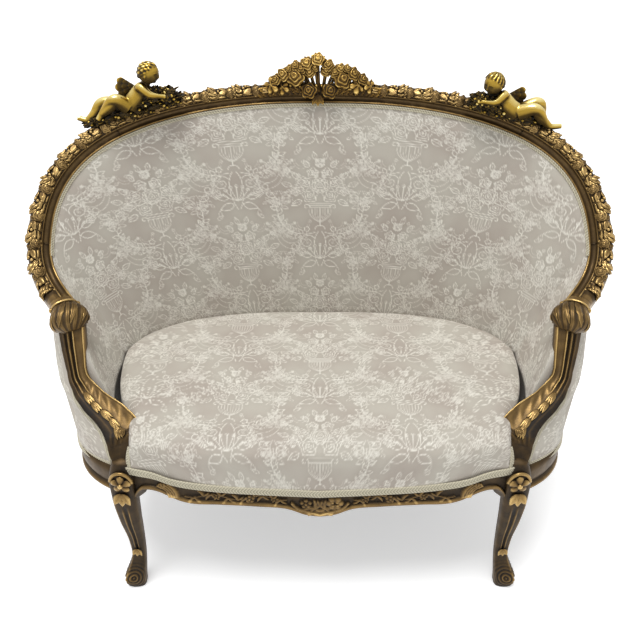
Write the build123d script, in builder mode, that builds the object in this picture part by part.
from build123d import *
import os
from math import copysign, cos, radians, sin

os.makedirs("parts", exist_ok=True)

# Driving sizes in millimetres. The sofa faces -Y, and left and right are the viewer's.
# Crest line, where the inside cloth meets the rail: a rounded-square plan that falls to the arms
back_half_width = 635
back_rear = 306
back_widest = 56
back_fullness = 2.4
crest_height = 993
crest_drop = 310
crest_fall = 2.3
joint_turn = 45
arm_turn = 84
end_turn = 120

# Foot line of the inside back, on the seat frame
foot_half_width = 448
foot_rear = 194
foot_widest = -8
foot_fullness = 2.4
foot_end = Vector(412, -242)
foot_start_lead = Vector(4, -90)
foot_end_lead = Vector(44, 56)

# Carved moulding of the crest rail, the arms and their supports
rail_width = 52
rail_middle_width = 43
rail_depth = 40
bead_width = 7
bead_height = 3
hollow_depth = 3.5
fillet_width = 3
roll_width = 34
roll_drop = 18
dowel_radius = 5
dowel_length = 44
dowel_spacing = 18

# Arm end, its scrolled knuckle and the support below it
arm_height = 655
arm_end_inset = 75
arm_end_ahead = 102
arm_heading = Vector(-0.5, -0.866, 0)
arm_lead = 70
arm_run_out = 60
knuckle_length = 76
knuckle_width = 94
knuckle_depth = 70
support_depth = 32
support_gap = 2
support_set_back = 8

# Seat frame: rounded-square plan, square to the floor
frame_half_width = 574
frame_widest = -54
frame_rear_reach = 315
frame_front_reach = 294
frame_rear_fullness = 2.3
frame_front_fullness = 3.4
rail_thickness = 30
rail_top = 370
rail_bottom = 300
apron_drop = 30
apron_half_width = 46

# Legs
front_leg_turn = 137.5
front_leg_top = 398
rear_leg_turn = 38
leg_inset = 14
front_foot_size = 42
rear_foot_size = 34

# Upholstery
webbing_width = 50
webbing_thickness = 1.2
hessian_thickness = 0.8
back_recess = 5
back_crown = 22
back_stuffing = 16
cover_thickness = 1.6
outside_bulge = 9
outside_arm_bulge = 20
outside_arm_turn = 100
outside_foot_drop = 16
outside_end_shift = 8
outside_end_lead = Vector(34, 60, 8)
seat_front_half_width = 398
seat_front_corner = -312
seat_front = -351
seat_crown = 474
gimp_width = 13
seat_gimp_width = 17
gimp_thickness = 2.5
soft_gap = 0.3

# Frame members inside the back
post_width = 40
post_top_depth = 13
post_foot_depth = 20
stay_height = 40
stay_depth = 15

# Corner blocks
block_length = 96
block_depth = 60
block_height = 46
block_top_gap = 6
block_side_angle = 55

# Carved figures and flowers: places along the rail, up it and out to the front
figure_turn = 40
head_radius = 25
joint_fullness = 1.06
rose_radius = 16
rose_depth = 15
knee_rosette_radius = 21
knee_rosette_depth = 21
knee_rosette_ahead = 24
knee_height_share = 0.88

up = Vector(0, 0, 1)
full_circle = 360
webbing_top = rail_top + 2 * webbing_thickness
hessian_top = webbing_top + hessian_thickness


def spread(start, end, count):
    return [start + (end - start) * i / (count - 1) for i in range(count)]


def bezier(points, share):
    while len(points) > 1:
        points = [a + (b - a) * share for a, b in zip(points, points[1:])]
    return points[0]


def plan_point(turn, half_width, widest, reach, fullness):
    # Rounded-square curve, turn degrees from the rear middle, positive to the right
    side = abs(sin(radians(turn)))
    ahead = cos(radians(turn))
    size = (side**fullness + abs(ahead) ** fullness) ** (-1 / fullness)
    return copysign(half_width * side * size, turn), widest + reach * ahead * size


def frame_point(turn, inset, height):
    rear = abs(turn) < 90
    reach = frame_rear_reach if rear else frame_front_reach
    fullness = frame_rear_fullness if rear else frame_front_fullness
    signed = (turn + full_circle / 2) % full_circle - full_circle / 2
    x, y = plan_point(signed, frame_half_width - inset, frame_widest, reach - inset, fullness)
    return Vector(x, y, height)


def crest_point(turn):
    x, y = plan_point(turn, back_half_width, back_widest, back_rear - back_widest, back_fullness)
    return Vector(x, y, crest_height - crest_drop * (abs(turn) / 90) ** crest_fall)


def crest_tangent(turn):
    return (crest_point(turn + 0.5) - crest_point(turn - 0.5)).normalized()


def rear_foot_point(turn):
    x, y = plan_point(turn, foot_half_width, foot_widest, foot_rear - foot_widest, foot_fullness)
    return Vector(x, y, hessian_top + soft_gap)


def mirrored(point):
    return Vector(-point.X, point.Y, point.Z)


def across(direction, along):
    return (direction - along * direction.dot(along)).normalized()


# Leg places come from the seat frame, and the arm supports run from the front legs to the knuckles
front_leg = frame_point(front_leg_turn, leg_inset, 0)
rear_leg = frame_point(rear_leg_turn, leg_inset + rail_thickness / 2, 0)
support_foot = front_leg + up * front_leg_top
arm_end = Vector(back_half_width - arm_end_inset, back_widest - arm_end_ahead, arm_height)
arm_outward = up.cross(arm_heading)
arm_middle = arm_end + arm_outward * (rail_width / 2) - up * (rail_depth / 2)
knuckle_middle = arm_middle + arm_heading * (knuckle_length / 2)
support_head = knuckle_middle - up * (knuckle_depth / 2 + support_gap) - arm_heading * support_set_back

arm_start = crest_point(arm_turn)
arm_route = [
    arm_start,
    arm_start + crest_tangent(arm_turn) * arm_lead,
    arm_end - arm_heading * arm_run_out,
    arm_end,
]


# Inside edge of the basket: the crest to the arms, then under the arm to the head of the support
def basket_top(turn):
    if abs(turn) <= arm_turn:
        return crest_point(turn)
    lead = crest_tangent(arm_turn) * arm_lead
    head = support_head - Vector(rail_width / 4, 0, 0)
    route = [arm_start, arm_start + lead, arm_end - up * (rail_depth + 6), head]
    point = bezier(route, (abs(turn) - arm_turn) / (end_turn - arm_turn))
    return point if turn > 0 else mirrored(point)


def basket_foot(turn):
    if abs(turn) <= arm_turn:
        return rear_foot_point(turn)
    start = rear_foot_point(arm_turn)
    end = foot_end + up * start.Z
    route = [start, start + foot_start_lead, end + foot_end_lead, end]
    point = bezier(route, (abs(turn) - arm_turn) / (end_turn - arm_turn))
    return point if turn > 0 else mirrored(point)


def back_plane(turn):
    # Upright plane across the back at this turn: X up the cloth, Y towards the sitter
    foot = basket_foot(turn)
    rise = (basket_top(turn) - foot).normalized()
    sweep_way = basket_top(turn + 1) + basket_foot(turn + 1) - basket_top(turn - 1) - basket_foot(turn - 1)
    inward = sweep_way.cross(rise).normalized()
    return Plane(origin=foot, x_dir=rise, z_dir=rise.cross(inward))


def back_height(turn):
    return (basket_top(turn) - basket_foot(turn)).length - soft_gap


def crown_at(turn, place):
    # The stuffing swells in the middle of the back and flattens towards the arm supports
    swell = back_crown * cos(radians(min(90, abs(turn) * 0.75)))
    share = place / back_height(turn)
    return 4 * swell * share * (1 - share)


def back_section(turn, low, high, near, far, near_crown, far_crown):
    middle_places = spread(low, high, 5)
    near_points = [(p, near + near_crown * crown_at(turn, p)) for p in middle_places]
    far_points = [(p, far + far_crown * crown_at(turn, p)) for p in reversed(middle_places)]
    with BuildSketch(back_plane(turn)) as section:
        with BuildLine():
            Spline(*near_points)
            Line(near_points[-1], far_points[0])
            Spline(*far_points)
            Line(far_points[-1], near_points[0])
        make_face()
    add(section.sketch)


def crest_width(turn):
    # The rail is slimmer over the middle of the back than beside the arms
    return rail_middle_width + (rail_width - rail_middle_width) * abs(turn) / arm_turn


def rail_plane(turn):
    # Plane square to the crest line: X out across the rail, Y to the front, at the section's middle
    tangent = crest_tangent(turn)
    lean = across(crest_point(turn) - rear_foot_point(turn), tangent)
    front = tangent.cross(lean)
    middle = crest_point(turn) + lean * (crest_width(turn) / 2) - front * (rail_depth / 2)
    return Plane(origin=middle, x_dir=lean, z_dir=tangent)


def arm_plane(share):
    # The rail's section turns about its own line until it faces up at the knuckle
    steps = [after - before for before, after in zip(arm_route, arm_route[1:])]
    tangent = bezier(steps, share).normalized()
    lean = across(rail_plane(arm_turn).x_dir * (1 - share) + arm_outward * share, tangent)
    front = tangent.cross(lean)
    middle = bezier(arm_route, share) + lean * (rail_width / 2) - front * (rail_depth / 2)
    return Plane(origin=middle, x_dir=lean, z_dir=tangent)


def moulded_section(plane, width, depth):
    # Inner bead, hollow, fillet and outer roll on a flat-backed rail, drawn to the given size
    hollow_start = bead_width
    hollow_end = rail_width - roll_width - fillet_width
    roll_start = rail_width - roll_width
    wide = width / rail_width
    deep = depth / rail_depth

    def at(place, front):
        return ((place - rail_width / 2) * wide, (front + rail_depth / 2) * deep)

    with BuildSketch(plane) as section:
        with BuildLine():
            ThreePointArc(at(0, -bead_height), at(bead_width / 2, 0), at(hollow_start, -bead_height))
            hollow_middle = at((hollow_start + hollow_end) / 2, -bead_height - hollow_depth)
            ThreePointArc(at(hollow_start, -bead_height), hollow_middle, at(hollow_end, -bead_height))
            Line(at(hollow_end, -bead_height), at(roll_start, -bead_height))
            roll_side = at(rail_width, -roll_drop)
            ThreePointArc(at(roll_start, -bead_height), at(rail_width - roll_width * 0.35, 0), roll_side)
            Line(roll_side, at(rail_width - 4, -rail_depth))
            Line(at(rail_width - 4, -rail_depth), at(0, -rail_depth))
            Line(at(0, -rail_depth), at(0, -bead_height))
        make_face()
    add(section.sketch)


def dowel_locations(turn):
    joint = rail_plane(turn).location
    return [joint * Location((side * dowel_spacing / 2, 0, 0)) for side in (-1, 1)]


# Crest rail in three doweled pieces
middle_dowels = dowel_locations(-joint_turn) + dowel_locations(joint_turn)
arm_dowels = dowel_locations(-arm_turn) + dowel_locations(arm_turn)

with BuildPart() as crest_rail_middle:
    for turn in spread(-joint_turn, joint_turn, 9):
        moulded_section(rail_plane(turn), crest_width(turn), rail_depth)
    loft()
    with Locations(*middle_dowels):
        Cylinder(dowel_radius, dowel_length, mode=Mode.SUBTRACT)

with BuildPart() as crest_rail_right:
    for turn in spread(joint_turn, arm_turn, 5):
        moulded_section(rail_plane(turn), crest_width(turn), rail_depth)
    loft()
    with Locations(*dowel_locations(joint_turn), *dowel_locations(arm_turn)):
        Cylinder(dowel_radius, dowel_length, mode=Mode.SUBTRACT)

with BuildPart() as crest_dowels:
    with Locations(*middle_dowels, *arm_dowels):
        Cylinder(dowel_radius, dowel_length)

# Arm: the same moulding, turned until it faces up, swelling into the carved knuckle
knuckle_shape = [(0.16, 0.66, 0.7), (0.5, 1, 1), (0.8, 0.8, 0.8), (1, 0.34, 0.4)]

with BuildPart() as arm_right:
    for share in spread(0, 1, 5):
        moulded_section(arm_plane(share), rail_width, rail_depth)
    loft()
    moulded_section(arm_plane(1), rail_width, rail_depth)
    for share, wide, deep in knuckle_shape:
        middle = arm_middle + arm_heading * (knuckle_length * share) - up * (rail_depth * 0.1 * share)
        plane = Plane(origin=middle, x_dir=arm_outward, z_dir=arm_heading)
        moulded_section(plane, knuckle_width * wide, knuckle_depth * deep)
    loft()
    with Locations(*dowel_locations(arm_turn)):
        Cylinder(dowel_radius, dowel_length, mode=Mode.SUBTRACT)

# Arm support: rises from the knee, spreads into a tongue beside the seat and sweeps back to the knuckle.
# Shares of the rise, of the way across and of the way back, then the width
support_shape = [
    (1.05, 0.98, 1, 54),
    (0.79, 0.95, 0.905, 53),
    (0.61, 0.89, 0.765, 47),
    (0.49, 0.80, 0.65, 48),
    (0.385, 0.54, 0.48, 60),
    (0.26, 0.18, 0.30, 80),
    (0.11, 0.05, 0.10, 54),
    (0, 0, 0, 44),
]


def support_point(rise, sideways, back):
    way = support_head - support_foot
    return support_foot + Vector(way.X * sideways, way.Y * back, way.Z * rise)


def support_plane(index):
    points = [support_point(*station[:3]) for station in support_shape]
    tangent = (points[min(index + 1, len(points) - 1)] - points[max(index - 1, 0)]).normalized()
    if index == len(points) - 1:
        tangent = -up
    return Plane(origin=points[index], x_dir=across(Vector(1, 0, 0), tangent), z_dir=tangent)


with BuildPart() as arm_support_right:
    for index, station in enumerate(support_shape):
        moulded_section(support_plane(index), station[3], support_depth)
    loft()
    add(arm_right.part, mode=Mode.SUBTRACT)

# Front leg: cabriole with a full knee, a slim ankle and a scrolled toe.
# Share of the height, outward swing and thickness
front_leg_shape = [
    (1, 0, 46),
    (0.91, 7, 54),
    (0.76, 11, 52),
    (0.55, 7, 43),
    (0.36, 0, 35),
    (0.22, 1, 33),
    (0.12, 11, 42),
    (0.05, 17, 46),
    (0, 16, front_foot_size),
]
rear_leg_shape = [
    (1, 0, 46),
    (0.82, 4, 50),
    (0.5, 4, 40),
    (0.2, 16, 34),
    (0, 30, rear_foot_size),
]


def leg_sections(place, heading, height, shape):
    for rise, swing, size in shape:
        middle = place + heading * swing + up * (height * rise)
        with BuildSketch(Plane(origin=middle, x_dir=heading + heading.cross(up), z_dir=up)) as section:
            RectangleRounded(size, size, size * 0.24)
        add(section.sketch)


leg_heading = Vector(1, -1, 0).normalized()
rear_leg_heading = Vector(0.5, 1, 0).normalized()

with BuildPart() as front_leg_right:
    leg_sections(front_leg, leg_heading, front_leg_top, front_leg_shape)
    loft()

with BuildPart() as rear_leg_right:
    leg_sections(rear_leg, rear_leg_heading, rail_top, rear_leg_shape)
    loft()


def rail_band(turns, outer, inner, height):
    outside = [frame_point(turn, outer, height) for turn in turns]
    inside = [frame_point(turn, inner, height) for turn in reversed(turns)]
    with BuildSketch(Plane.XY.offset(height)) as section:
        with BuildLine():
            Spline(*[(p.X, p.Y) for p in outside])
            Line((outside[-1].X, outside[-1].Y), (inside[0].X, inside[0].Y))
            Spline(*[(p.X, p.Y) for p in inside])
            Line((inside[-1].X, inside[-1].Y), (outside[0].X, outside[0].Y))
        make_face()
    add(section.sketch)


def frame_plan(inset, height):
    points = [frame_point(turn, inset, height) for turn in range(-180, 180, 12)]
    with BuildSketch(Plane.XY.offset(height)) as section:
        with BuildLine():
            Spline(*[(p.X, p.Y) for p in points], periodic=True)
        make_face()
    add(section.sketch)


def cut_by(*pieces):
    # Cut the current part to fit against these pieces and their mirror images
    both_sides = [side for piece in pieces for side in (piece.part, piece.part.mirror(Plane.YZ))]
    add(both_sides, mode=Mode.SUBTRACT)


# Front seat rail: bowed in plan, with a shaped lower edge and a drop in the middle
with BuildPart() as front_seat_rail:
    front_turns = spread(front_leg_turn, full_circle - front_leg_turn, 11)
    rail_band(front_turns, 0, rail_thickness, rail_bottom - apron_drop)
    extrude(amount=rail_top - rail_bottom + apron_drop)
    half = front_leg.X
    low = rail_bottom - apron_drop
    with BuildSketch(Plane.XZ):
        with BuildLine():
            left_edge = [
                (-half, rail_bottom + 24),
                (-half * 0.8, rail_bottom + 6),
                (-half * 0.45, rail_bottom - 4),
            ]
            drop = [(-apron_half_width, rail_bottom - 6), (0, low), (apron_half_width, rail_bottom - 6)]
            right_edge = [(-x, z) for x, z in reversed(left_edge)]
            lower = Spline(*left_edge, *drop, *right_edge)
            Polyline(lower @ 1, (half, rail_top), (-half, rail_top), lower @ 0)
        make_face()
    extrude(amount=frame_half_width, both=True, mode=Mode.INTERSECT)
    cut_by(front_leg_right)

with BuildPart() as side_seat_rail_right:
    rail_band(spread(rear_leg_turn, front_leg_turn, 11), 0, rail_thickness, rail_bottom)
    extrude(amount=rail_top - rail_bottom)
    cut_by(front_leg_right, rear_leg_right)

with BuildPart() as back_seat_rail:
    rail_band(spread(-rear_leg_turn, rear_leg_turn, 9), 0, rail_thickness, rail_bottom)
    extrude(amount=rail_top - rail_bottom)
    cut_by(rear_leg_right)


# Glued corner blocks behind each leg, cut to the inner faces of the rails
def block_plane(leg, height):
    inward = (Vector(0, frame_widest, 0) - leg).normalized()
    middle = leg + inward * (rail_thickness + block_depth / 2) + up * height
    return Plane(origin=middle, x_dir=inward.cross(up), z_dir=up)


def corner_block(leg, leg_part):
    low = rail_top - block_height - block_top_gap
    with BuildSketch(block_plane(leg, low)) as section:
        Trapezoid(block_length, block_depth, block_side_angle)
    add(section.sketch)
    extrude(amount=block_height)
    frame_plan(rail_thickness / 2, low)
    extrude(amount=block_height, mode=Mode.INTERSECT)
    for rail in (front_seat_rail, side_seat_rail_right, back_seat_rail):
        add(rail.part, mode=Mode.SUBTRACT)
    add(leg_part.part, mode=Mode.SUBTRACT)


with BuildPart() as front_block_right:
    corner_block(front_leg, front_leg_right)

with BuildPart() as rear_block_right:
    corner_block(rear_leg, rear_leg_right)

# Seat platform: crossed webbing and hessian tacked to the tops of the rails
tack_inset = 8

with BuildPart() as webbing_across:
    with BuildSketch(Plane.XY.offset(rail_top)):
        with Locations((0, frame_widest)):
            with GridLocations(webbing_width * 2, 0, 9, 1):
                Rectangle(webbing_width, frame_rear_reach + frame_front_reach)
    extrude(amount=webbing_thickness)
    frame_plan(tack_inset, rail_top)
    extrude(amount=webbing_thickness, mode=Mode.INTERSECT)
    cut_by(front_leg_right)

with BuildPart() as webbing_along:
    with BuildSketch(Plane.XY.offset(rail_top + webbing_thickness)):
        with Locations((0, frame_widest)):
            with GridLocations(0, webbing_width * 2, 1, 5):
                Rectangle(frame_half_width * 2, webbing_width)
    extrude(amount=webbing_thickness)
    frame_plan(tack_inset, rail_top + webbing_thickness)
    extrude(amount=webbing_thickness, mode=Mode.INTERSECT)
    cut_by(front_leg_right)

with BuildPart() as seat_hessian:
    frame_plan(tack_inset, webbing_top)
    extrude(amount=hessian_thickness)
    cut_by(front_leg_right)

with BuildPart() as dust_cover:
    frame_plan(tack_inset, rail_bottom - hessian_thickness)
    extrude(amount=hessian_thickness)
    cut_by(front_leg_right, rear_leg_right)
    add(front_seat_rail.part, mode=Mode.SUBTRACT)

# Seat: full against the back, with a crowned top that rolls over at the front.
# Height share between the hessian and the crown, and the share of the plan that is left there
seat_shape = [(0, 1), (0.34, 1), (0.6, 0.99), (0.78, 0.94), (0.9, 0.82), (0.97, 0.58), (1, 0.24)]
seat_middle = Vector(0, 26, 0)
seat_turns = spread(-end_turn, end_turn, 17)


def seat_section(height, share, inset):
    def at(point):
        way = Vector(point.X, point.Y, 0) - seat_middle
        moved = seat_middle + way * (share * (1 - inset / way.length))
        return moved.X, moved.Y

    def basket_at(turn):
        rise = (height - basket_foot(turn).Z) / (basket_top(turn).Z - basket_foot(turn).Z)
        return basket_foot(turn) + (basket_top(turn) - basket_foot(turn)) * min(rise, 0.12)

    rear = [at(basket_at(turn)) for turn in seat_turns]
    corner = Vector(seat_front_half_width, seat_front_corner)
    front_places = [corner, Vector(corner.X * 0.62, seat_front + 6), Vector(0, seat_front)]
    front = [at(p) for p in front_places] + [at(mirrored(p)) for p in reversed(front_places[:-1])]
    with BuildSketch(Plane.XY.offset(height)) as section:
        with BuildLine():
            Spline(*rear)
            Line(rear[-1], front[0])
            Spline(*front)
            Line(front[-1], rear[0])
        make_face()
    add(section.sketch)


def seat_loft(inset):
    for rise, share in seat_shape:
        seat_section(hessian_top + (seat_crown - inset - hessian_top) * rise, share, inset + back_recess)
    loft(ruled=True)


with BuildPart() as seat_core:
    seat_loft(cover_thickness)

with BuildPart() as seat_stuffing:
    add(seat_core.part)
    cut_by(front_leg_right, arm_support_right)

with BuildPart() as seat_cover:
    seat_loft(0)
    add(seat_core.part, mode=Mode.SUBTRACT)
    cut_by(front_leg_right, arm_support_right)

# Inside back: cloth, stuffing, hessian and webbing from front to rear
back_turns = spread(-end_turn, end_turn, 13)
cover_rear = -back_recess - cover_thickness
stuffing_rear = cover_rear - back_stuffing
hessian_rear = stuffing_rear - hessian_thickness
webbing_rear = hessian_rear - webbing_thickness


def back_layer(near, far, near_crown, far_crown):
    for turn in back_turns:
        back_section(turn, 0, back_height(turn), near, far, near_crown, far_crown)
    loft()


with BuildPart() as inside_back_cover:
    back_layer(-back_recess, cover_rear, 1, 1)

with BuildPart() as inside_back_stuffing:
    back_layer(cover_rear - soft_gap, stuffing_rear, 1, 0)

with BuildPart() as inside_back_hessian:
    back_layer(stuffing_rear - soft_gap, hessian_rear, 0, 0)


# Frame inside the back: posts over the rear legs, stay rails between them, upright webbing
def back_strip(turns, low, high, near, far):
    for turn in turns:
        back_section(turn, low, high(turn), near, far, 0, 0)
    loft()


def turn_width(turn, width):
    # Degrees of turn that span a width along the foot line
    return width / (basket_foot(turn + 0.5) - basket_foot(turn - 0.5)).length / 2


with BuildPart() as back_post_right:
    post_turn = turn_width(rear_leg_turn, post_width)
    for turn in (rear_leg_turn - post_turn, rear_leg_turn + post_turn):
        top = back_height(turn)
        with BuildSketch(back_plane(turn)):
            with BuildLine():
                near = webbing_rear - soft_gap
                foot_far = webbing_rear - post_foot_depth
                top_far = webbing_rear - post_top_depth
                Polyline((0, near), (top, near), (top, top_far), (0, foot_far), close=True)
            make_face()
    loft(ruled=True)
    add(crest_rail_middle.part, mode=Mode.SUBTRACT)

with BuildPart() as back_stay_rails:
    stay_near = webbing_rear - soft_gap
    stay_turns = spread(-arm_turn, arm_turn, 15)
    back_strip(stay_turns, 0, lambda turn: stay_height, stay_near, stay_near - stay_depth)
    cut_by(back_post_right)

webbing_turns = [-68, -52, -24, -8, 8, 24, 52, 68]
back_webbing_pieces = []
for middle in webbing_turns:
    with BuildPart() as back_web:
        half_turn = turn_width(middle, webbing_width)
        strip_turns = (middle - half_turn, middle, middle + half_turn)
        back_strip(strip_turns, 0, back_height, hessian_rear - soft_gap, webbing_rear)
    back_webbing_pieces.append(back_web.part)

with BuildPart() as back_webbing:
    for piece in back_webbing_pieces:
        add(piece)


# Outside cloth: from the rear of the crest rail and the arm down to the outer face of the seat rails
def outside_top(turn):
    if abs(turn) <= arm_turn:
        plane = rail_plane(turn)
        return plane.from_local_coords((-rail_width * 0.3, -rail_depth / 2 - soft_gap, 0))
    share = (abs(turn) - arm_turn) / (end_turn - arm_turn)
    start = outside_top(arm_turn)
    end = support_head + Vector(rail_width / 4, outside_end_shift, 0)
    route = [start, start + crest_tangent(arm_turn) * arm_lead * 0.8, end + outside_end_lead, end]
    point = bezier(route, share)
    return point if turn > 0 else mirrored(point)


def outside_foot(turn):
    return frame_point(turn / end_turn * front_leg_turn, -soft_gap, rail_top - outside_foot_drop)


with BuildPart() as outside_back_cover:
    for turn in spread(-end_turn, end_turn, 15):
        foot = outside_foot(turn)
        rise = (outside_top(turn) - foot).normalized()
        way = outside_top(turn + 1) + outside_foot(turn + 1) - outside_top(turn - 1) - outside_foot(turn - 1)
        outward = rise.cross(way).normalized()
        height = (outside_top(turn) - foot).length
        arm_share = max(0, (abs(turn) - outside_arm_turn) / (end_turn - outside_arm_turn))
        bulge = outside_bulge + outside_arm_bulge * arm_share
        with BuildSketch(Plane(origin=foot, x_dir=rise, z_dir=rise.cross(outward))):
            with BuildLine():
                near = ThreePointArc((0, 0), (height / 2, bulge), (height, 0))
                far = ThreePointArc(
                    (height, cover_thickness),
                    (height / 2, bulge + cover_thickness),
                    (0, cover_thickness),
                )
                Line(near @ 1, far @ 0)
                Line(far @ 1, near @ 0)
            make_face()
    loft()

# Braided gimp over the tacked edges
with BuildPart() as crest_gimp:
    for turn in spread(-arm_turn, arm_turn, 17):
        high = back_height(turn)
        low = high - gimp_width
        low_front = -back_recess + crown_at(turn, low) + soft_gap
        high_front = -back_recess + crown_at(turn, high) + soft_gap
        with BuildSketch(back_plane(turn)):
            with BuildLine():
                Polyline(
                    (low, low_front),
                    (high, high_front),
                    (high, high_front + gimp_thickness),
                    (low, low_front + gimp_thickness),
                    close=True,
                )
            make_face()
    loft()
    add(crest_rail_middle.part, mode=Mode.SUBTRACT)
    cut_by(crest_rail_right)

with BuildPart() as seat_gimp:
    rail_band(front_turns, -gimp_thickness, 0, rail_top - seat_gimp_width)
    extrude(amount=seat_gimp_width)
    cut_by(front_leg_right)


# Carved flowers: a dome with a bud on it, on the X-Y plane of the place
def rose(place, radius, depth):
    with BuildSketch(Plane(origin=place.origin, x_dir=place.x_dir, z_dir=-place.y_dir)) as section:
        with BuildLine():
            bud = ThreePointArc((0, depth), (radius * 0.28, depth * 0.9), (radius * 0.4, depth * 0.68))
            petals = ThreePointArc(bud @ 1, (radius * 0.78, depth * 0.5), (radius, 0))
            Polyline(petals @ 1, (0, 0), bud @ 0)
        make_face()
    add(section.sketch)
    revolve(axis=Axis(place.origin, place.z_dir))


# A bouquet on the middle of the crest: a lobed plate, pierced between the flowers, and their domes.
# Along the rail from the middle, up from the cloth, and size against the usual rose
bouquet_roses = [
    (-5, 92, 1),
    (-34, 84, 0.95),
    (24, 83, 0.95),
    (-58, 62, 1.1),
    (-86, 60, 0.9),
    (50, 60, 1.1),
    (78, 58, 0.9),
    (-5, 60, 0.95),
    (-110, 46, 0.85),
    (101, 44, 0.85),
    (-30, 38, 1),
    (22, 38, 1),
    (-5, 14, 0.8),
]
bouquet_lobe = 1.16
bouquet_set_back = 6
bouquet_plate = 14
dome_share = 0.76

with BuildPart() as crest_bouquet:
    front_way = rail_plane(0).y_dir
    flower_middle = crest_point(0) - front_way * bouquet_set_back
    flower_face = Plane(origin=flower_middle, x_dir=Vector(1, 0, 0), z_dir=front_way)
    with BuildSketch(flower_face):
        for along, rise, size in bouquet_roses:
            with Locations((along, rise)):
                Circle(rose_radius * size * bouquet_lobe)
    extrude(amount=bouquet_plate)
    for along, rise, size in bouquet_roses:
        origin = flower_face.from_local_coords((along, rise, bouquet_plate))
        place = Plane(origin=origin, x_dir=flower_face.x_dir, z_dir=front_way)
        rose(place, rose_radius * size * dome_share, rose_depth * dome_share)
    add(crest_rail_middle.part, mode=Mode.SUBTRACT)


# Carved figures: a child with wings lying on a bed of leaves, each place along, up and to the front
def limb(start, start_radius, end, end_radius):
    way = (end - start).normalized()
    with BuildSketch(Plane(origin=start, z_dir=way)) as thick_end:
        Circle(start_radius)
    with BuildSketch(Plane(origin=end, z_dir=way)) as thin_end:
        Circle(end_radius)
    loft([thick_end.sketch, thin_end.sketch])
    # the poles lie along the limb, clear of the edges where limbs meet
    with Locations(Plane(origin=end, z_dir=way)):
        Sphere(end_radius * joint_fullness)


left_pose = {
    "head": (-68, 112, 40),
    "chest": (-30, 78, 18),
    "hip": (2, 60, 10),
    "elbow": (-49, 66, 42),
    "hand": (-84, 50, 30),
    "near_knee": (24, 86, 28),
    "near_foot": (76, 60, 4),
    "far_knee": (58, 82, -10),
    "far_foot": (112, 58, -20),
    "wing": (8, 116, -18),
    "bed": [(-112, 44, 4), (-40, 55, 2), (40, 55, -6), (104, 46, -20)],
}
right_pose = {
    "head": (-54, 96, 36),
    "chest": (-12, 66, 12),
    "hip": (22, 52, 4),
    "elbow": (-29, 58, 40),
    "hand": (-72, 46, 28),
    "near_knee": (56, 76, 20),
    "near_foot": (112, 50, -8),
    "far_knee": (62, 86, -14),
    "far_foot": (88, 52, -28),
    "wing": (24, 96, -24),
    "bed": [(-80, 43, 4), (-20, 54, 2), (40, 55, -8), (98, 44, -22)],
}


def figure(pose):
    rail = rail_plane(figure_turn)
    seat = Plane(origin=crest_point(figure_turn), x_dir=rail.z_dir, z_dir=rail.y_dir)

    def at(name):
        return seat.from_local_coords(pose[name])

    with Locations(Plane(origin=at("head"), z_dir=(at("chest") - at("head")).normalized())):
        Sphere(head_radius)
    limb(at("head"), head_radius * 0.5, at("chest"), head_radius * 0.76)
    limb(at("chest"), head_radius * 0.76, at("hip"), head_radius * 0.88)
    limb(at("chest"), head_radius * 0.4, at("elbow"), head_radius * 0.34)
    limb(at("elbow"), head_radius * 0.34, at("hand"), head_radius * 0.26)
    for side in ("near", "far"):
        limb(at("hip"), head_radius * 0.6, at(side + "_knee"), head_radius * 0.42)
        limb(at(side + "_knee"), head_radius * 0.42, at(side + "_foot"), head_radius * 0.28)
    limb(at("chest"), head_radius * 0.36, at("wing"), head_radius * 0.2)
    bed = [seat.from_local_coords(place) for place in pose["bed"]]
    for start, end in zip(bed, bed[1:]):
        limb(start, head_radius * 0.46, end, head_radius * 0.46)
    add(crest_rail_middle.part, mode=Mode.SUBTRACT)
    add(crest_rail_right.part, mode=Mode.SUBTRACT)


with BuildPart() as cherub_right:
    figure(right_pose)

with BuildPart() as cherub_left:
    figure(left_pose)
    mirror(about=Plane.YZ, mode=Mode.REPLACE)

# Carved rosette on the front of each knee
knee_facing = Vector(0.25, -1, 0).normalized()

with BuildPart() as knee_rosette_right:
    knee = front_leg + knee_facing * knee_rosette_ahead + up * (front_leg_top * knee_height_share)
    place = Plane(origin=knee, x_dir=up.cross(knee_facing), z_dir=knee_facing)
    rose(place, knee_rosette_radius, knee_rosette_depth)
    add(front_leg_right.part, mode=Mode.SUBTRACT)


def save(part, name):
    part.label = name
    export_step(part, f"parts/{name}.step")


paired = {
    "crest_rail": crest_rail_right,
    "arm": arm_right,
    "arm_support": arm_support_right,
    "front_leg": front_leg_right,
    "rear_leg": rear_leg_right,
    "side_seat_rail": side_seat_rail_right,
    "front_corner_block": front_block_right,
    "rear_corner_block": rear_block_right,
    "back_post": back_post_right,
    "knee_rosette": knee_rosette_right,
}
for name, builder in paired.items():
    save(builder.part, name + "_right")
    save(builder.part.mirror(Plane.YZ), name + "_left")

single = {
    "crest_rail_middle": crest_rail_middle,
    "crest_dowels": crest_dowels,
    "front_seat_rail": front_seat_rail,
    "back_seat_rail": back_seat_rail,
    "back_stay_rails": back_stay_rails,
    "back_webbing": back_webbing,
    "seat_webbing_across": webbing_across,
    "seat_webbing_along": webbing_along,
    "seat_hessian": seat_hessian,
    "seat_stuffing": seat_stuffing,
    "seat_cover": seat_cover,
    "inside_back_cover": inside_back_cover,
    "inside_back_stuffing": inside_back_stuffing,
    "inside_back_hessian": inside_back_hessian,
    "outside_back_cover": outside_back_cover,
    "crest_gimp": crest_gimp,
    "seat_gimp": seat_gimp,
    "dust_cover": dust_cover,
    "crest_bouquet": crest_bouquet,
    "cherub_left": cherub_left,
    "cherub_right": cherub_right,
}
for name, builder in single.items():
    save(builder.part, name)
